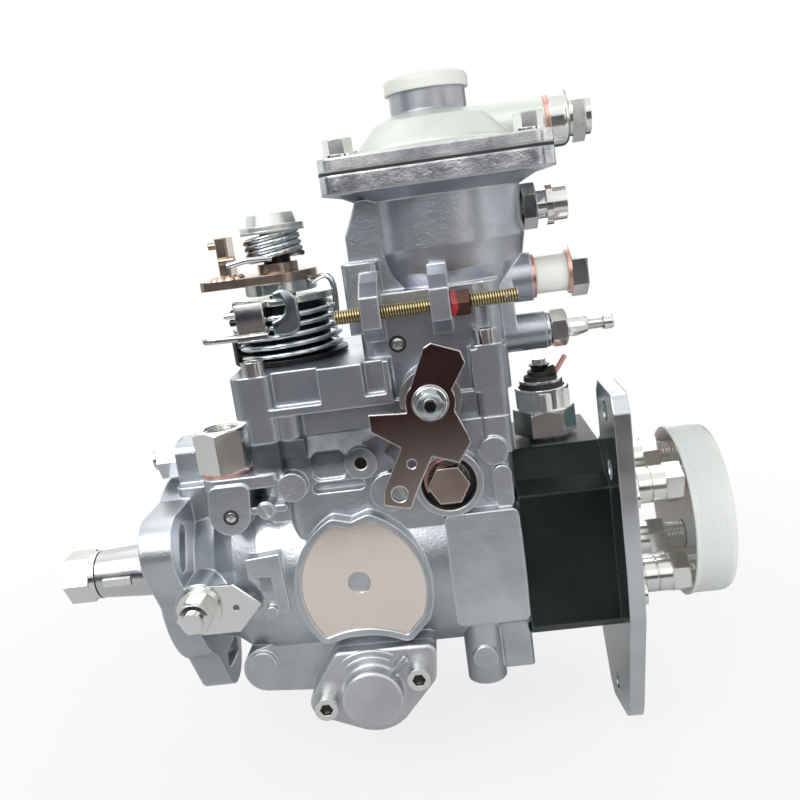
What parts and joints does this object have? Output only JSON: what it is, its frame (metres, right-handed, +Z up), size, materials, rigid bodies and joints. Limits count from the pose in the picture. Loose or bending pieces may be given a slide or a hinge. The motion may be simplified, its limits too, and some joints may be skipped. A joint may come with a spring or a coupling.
{
  "type": "diesel injection pump",
  "caption": "Distributor diesel injection pump with vane feed pump, flyweight governor, timing piston, stop lever and a diaphragm boost compensator.",
  "frame": {"origin": "on the drive shaft's axis at the front face of the mounting flange", "axes": "+X along the drive shaft towards the outlets, +Z up towards the boost compensator, -Y towards the stop lever"},
  "size_m": [0.309, 0.124, 0.2938],
  "materials": {
    "cast_aluminium": "as cast, fine grain",
    "cover_aluminium": "die cast, bright",
    "dark_steel": "phosphated, satin",
    "ground_steel": "ground",
    "sintered_steel": "sintered",
    "valve_steel": "ground",
    "zinc_steel": "bright zinc",
    "lever_steel": "smooth, dark",
    "bronzed_steel": "yellow-brown passivated",
    "spring_wire": "drawn wire",
    "yellow_zinc": "yellow zinc",
    "marked_nut": "paint-marked nuts",
    "bearing_bronze": "plain",
    "seal_copper": "washers",
    "white_plastic": "moulded",
    "clear_plastic": "translucent, ribbed",
    "diaphragm_rubber": "fabric reinforced",
    "bare_plate": "polished, bare"
  },
  "bodies": {
    "housing": {"pump_housing": "cast_aluminium", "governor_cover": "cast_aluminium", "shaft_bush": "bearing_bronze", "feed_pump_liner": "ground_steel", "distributor_head": "dark_steel", "plunger_barrel": "ground_steel", "delivery_valve_holders": "zinc_steel", "rear_bracket": "zinc_steel", "outlet_cup": "clear_plastic", "plunger_springs": "spring_wire", "governor_shaft": "ground_steel", "timing_covers": "cast_aluminium", "timing_spring": "spring_wire", "control_spring": "spring_wire", "governor_spring": "spring_wire", "boost_cover": "cover_aluminium", "boost_diaphragm": "diaphragm_rubber", "boost_spring": "spring_wire", "white_caps": "white_plastic", "hex_screws": "zinc_steel", "socket_screws": "zinc_steel", "adjusting_screws": "yellow_zinc", "lock_nuts": "marked_nut", "solenoid_body": "zinc_steel", "fuel_inlet": "zinc_steel", "banjo_bolts": "zinc_steel", "vent_fitting": "zinc_steel", "seals": "seal_copper", "plugs": "zinc_steel", "shaft_lock_plate": "zinc_steel", "side_plate": "bare_plate"},
    "drive_line": {"drive_shaft": "ground_steel", "shaft_nut": "zinc_steel", "feed_pump_rotor": "ground_steel", "drive_gear": "ground_steel", "cross_coupling": "ground_steel", "cam_plate": "ground_steel", "plunger": "ground_steel"},
    "timing_ring": {"roller_ring": "dark_steel"},
    "timing_slider": {"timing_piston": "ground_steel"},
    "governor": {"governor_cage": "ground_steel"},
    "weight_1": {"flyweight_1": "sintered_steel"},
    "weight_2": {"flyweight_2": "sintered_steel"},
    "weight_3": {"flyweight_3": "sintered_steel"},
    "weight_4": {"flyweight_4": "sintered_steel"},
    "sleeve": {"governor_sleeve": "ground_steel"},
    "lever": {"governor_lever": "dark_steel"},
    "collar": {"control_collar": "dark_steel"},
    "control": {"control_shaft": "dark_steel", "control_lever": "bronzed_steel", "upper_spring": "spring_wire", "control_cap": "bronzed_steel"},
    "stop": {"stop_shaft": "ground_steel", "stop_lever": "lever_steel"},
    "shut_off": {"solenoid_plunger": "valve_steel"},
    "boost": {"boost_pin": "ground_steel"},
    "valve_1": {"delivery_valve_1": "valve_steel"},
    "valve_2": {"delivery_valve_2": "valve_steel"},
    "valve_3": {"delivery_valve_3": "valve_steel"},
    "valve_4": {"delivery_valve_4": "valve_steel"}
  },
  "joints": [
    {"name": "drive_spin", "type": "hinge", "parent": "housing", "child": "drive_line", "pos_m": [0, 0, 0], "axis": [1, 0, 0], "continuous": true},
    {"name": "governor_spin", "type": "hinge", "parent": "housing", "child": "governor", "pos_m": [0.07, 0, 0.054], "axis": [1, 0, 0], "continuous": true},
    {"name": "sleeve_slide", "type": "slide", "parent": "governor", "child": "sleeve", "axis": [1, 0, 0], "range_m": [0, 0.00235]},
    {"name": "weight_swing_1", "type": "hinge", "parent": "governor", "child": "weight_1", "pos_m": [0.071, 0.01131, 0.06531], "axis": [0, -0.7071, 0.7071], "range_deg": [0, 15]},
    {"name": "weight_swing_2", "type": "hinge", "parent": "governor", "child": "weight_2", "pos_m": [0.071, -0.01131, 0.06531], "axis": [0, -0.7071, -0.7071], "range_deg": [0, 15]},
    {"name": "weight_swing_3", "type": "hinge", "parent": "governor", "child": "weight_3", "pos_m": [0.071, -0.01131, 0.04269], "axis": [0, 0.7071, -0.7071], "range_deg": [0, 15]},
    {"name": "weight_swing_4", "type": "hinge", "parent": "governor", "child": "weight_4", "pos_m": [0.071, 0.01131, 0.04269], "axis": [0, 0.7071, 0.7071], "range_deg": [0, 15]},
    {"name": "lever_tilt", "type": "hinge", "parent": "housing", "child": "lever", "pos_m": [0.134, 0, 0.026], "axis": [0, 1, 0], "range_deg": [0, 4.9]},
    {"name": "collar_slide", "type": "slide", "parent": "housing", "child": "collar", "axis": [1, 0, 0], "range_m": [-0.0014, 0]},
    {"name": "timing_slide", "type": "slide", "parent": "housing", "child": "timing_slider", "axis": [0, 1, 0], "range_m": [-0.006, 0], "stiffness_N_per_m": 2000, "springref_m": 0.002, "deforming": ["timing_spring"]},
    {"name": "timing_turn", "type": "hinge", "parent": "housing", "child": "timing_ring", "pos_m": [0.092, 0, 0], "axis": [1, 0, 0], "range_deg": [-7.3, 0]},
    {"name": "control_turn", "type": "hinge", "parent": "housing", "child": "control", "pos_m": [0.067, 0, 0], "axis": [0, 0, 1], "range_deg": [0, 40], "stiffness_Nm_per_rad": 0.4, "springref_deg": -17.19, "deforming": ["control_spring", "governor_spring"]},
    {"name": "stop_turn", "type": "hinge", "parent": "housing", "child": "stop", "pos_m": [0.1284, 0, 0.0775], "axis": [0, 1, 0], "range_deg": [0, 35], "stiffness_Nm_per_rad": 0.2, "springref_deg": -17.19},
    {"name": "shut_off_lift", "type": "slide", "parent": "housing", "child": "shut_off", "axis": [0, 0, 1], "range_m": [0, 0.003], "stiffness_N_per_m": 300, "springref_m": -0.003},
    {"name": "boost_stroke", "type": "slide", "parent": "housing", "child": "boost", "axis": [0, 0, 1], "range_m": [-0.006, 0], "stiffness_N_per_m": 2000, "springref_m": 0.008, "deforming": ["boost_spring", "boost_diaphragm"]},
    {"name": "valve_lift_1", "type": "slide", "parent": "housing", "child": "valve_1", "axis": [1, 0, 0], "range_m": [0, 0.002], "stiffness_N_per_m": 500, "springref_m": -0.002},
    {"name": "valve_lift_2", "type": "slide", "parent": "housing", "child": "valve_2", "axis": [1, 0, 0], "range_m": [0, 0.002], "stiffness_N_per_m": 500, "springref_m": -0.002},
    {"name": "valve_lift_3", "type": "slide", "parent": "housing", "child": "valve_3", "axis": [1, 0, 0], "range_m": [0, 0.002], "stiffness_N_per_m": 500, "springref_m": -0.002},
    {"name": "valve_lift_4", "type": "slide", "parent": "housing", "child": "valve_4", "axis": [1, 0, 0], "range_m": [0, 0.002], "stiffness_N_per_m": 500, "springref_m": -0.002}
  ],
  "couplings": [
    {"joint": "governor_spin", "follows": "drive_spin", "ratio": -1.6087},
    {"joint": "weight_swing_1", "follows": "sleeve_slide", "rad_per_m": 111.11},
    {"joint": "weight_swing_2", "follows": "sleeve_slide", "rad_per_m": 111.11},
    {"joint": "weight_swing_3", "follows": "sleeve_slide", "rad_per_m": 111.11},
    {"joint": "weight_swing_4", "follows": "sleeve_slide", "rad_per_m": 111.11},
    {"joint": "lever_tilt", "follows": "sleeve_slide", "rad_per_m": 35.714},
    {"joint": "collar_slide", "follows": "sleeve_slide", "ratio": -0.5714},
    {"joint": "timing_turn", "follows": "timing_slide", "rad_per_m": 21.053}
  ]
}
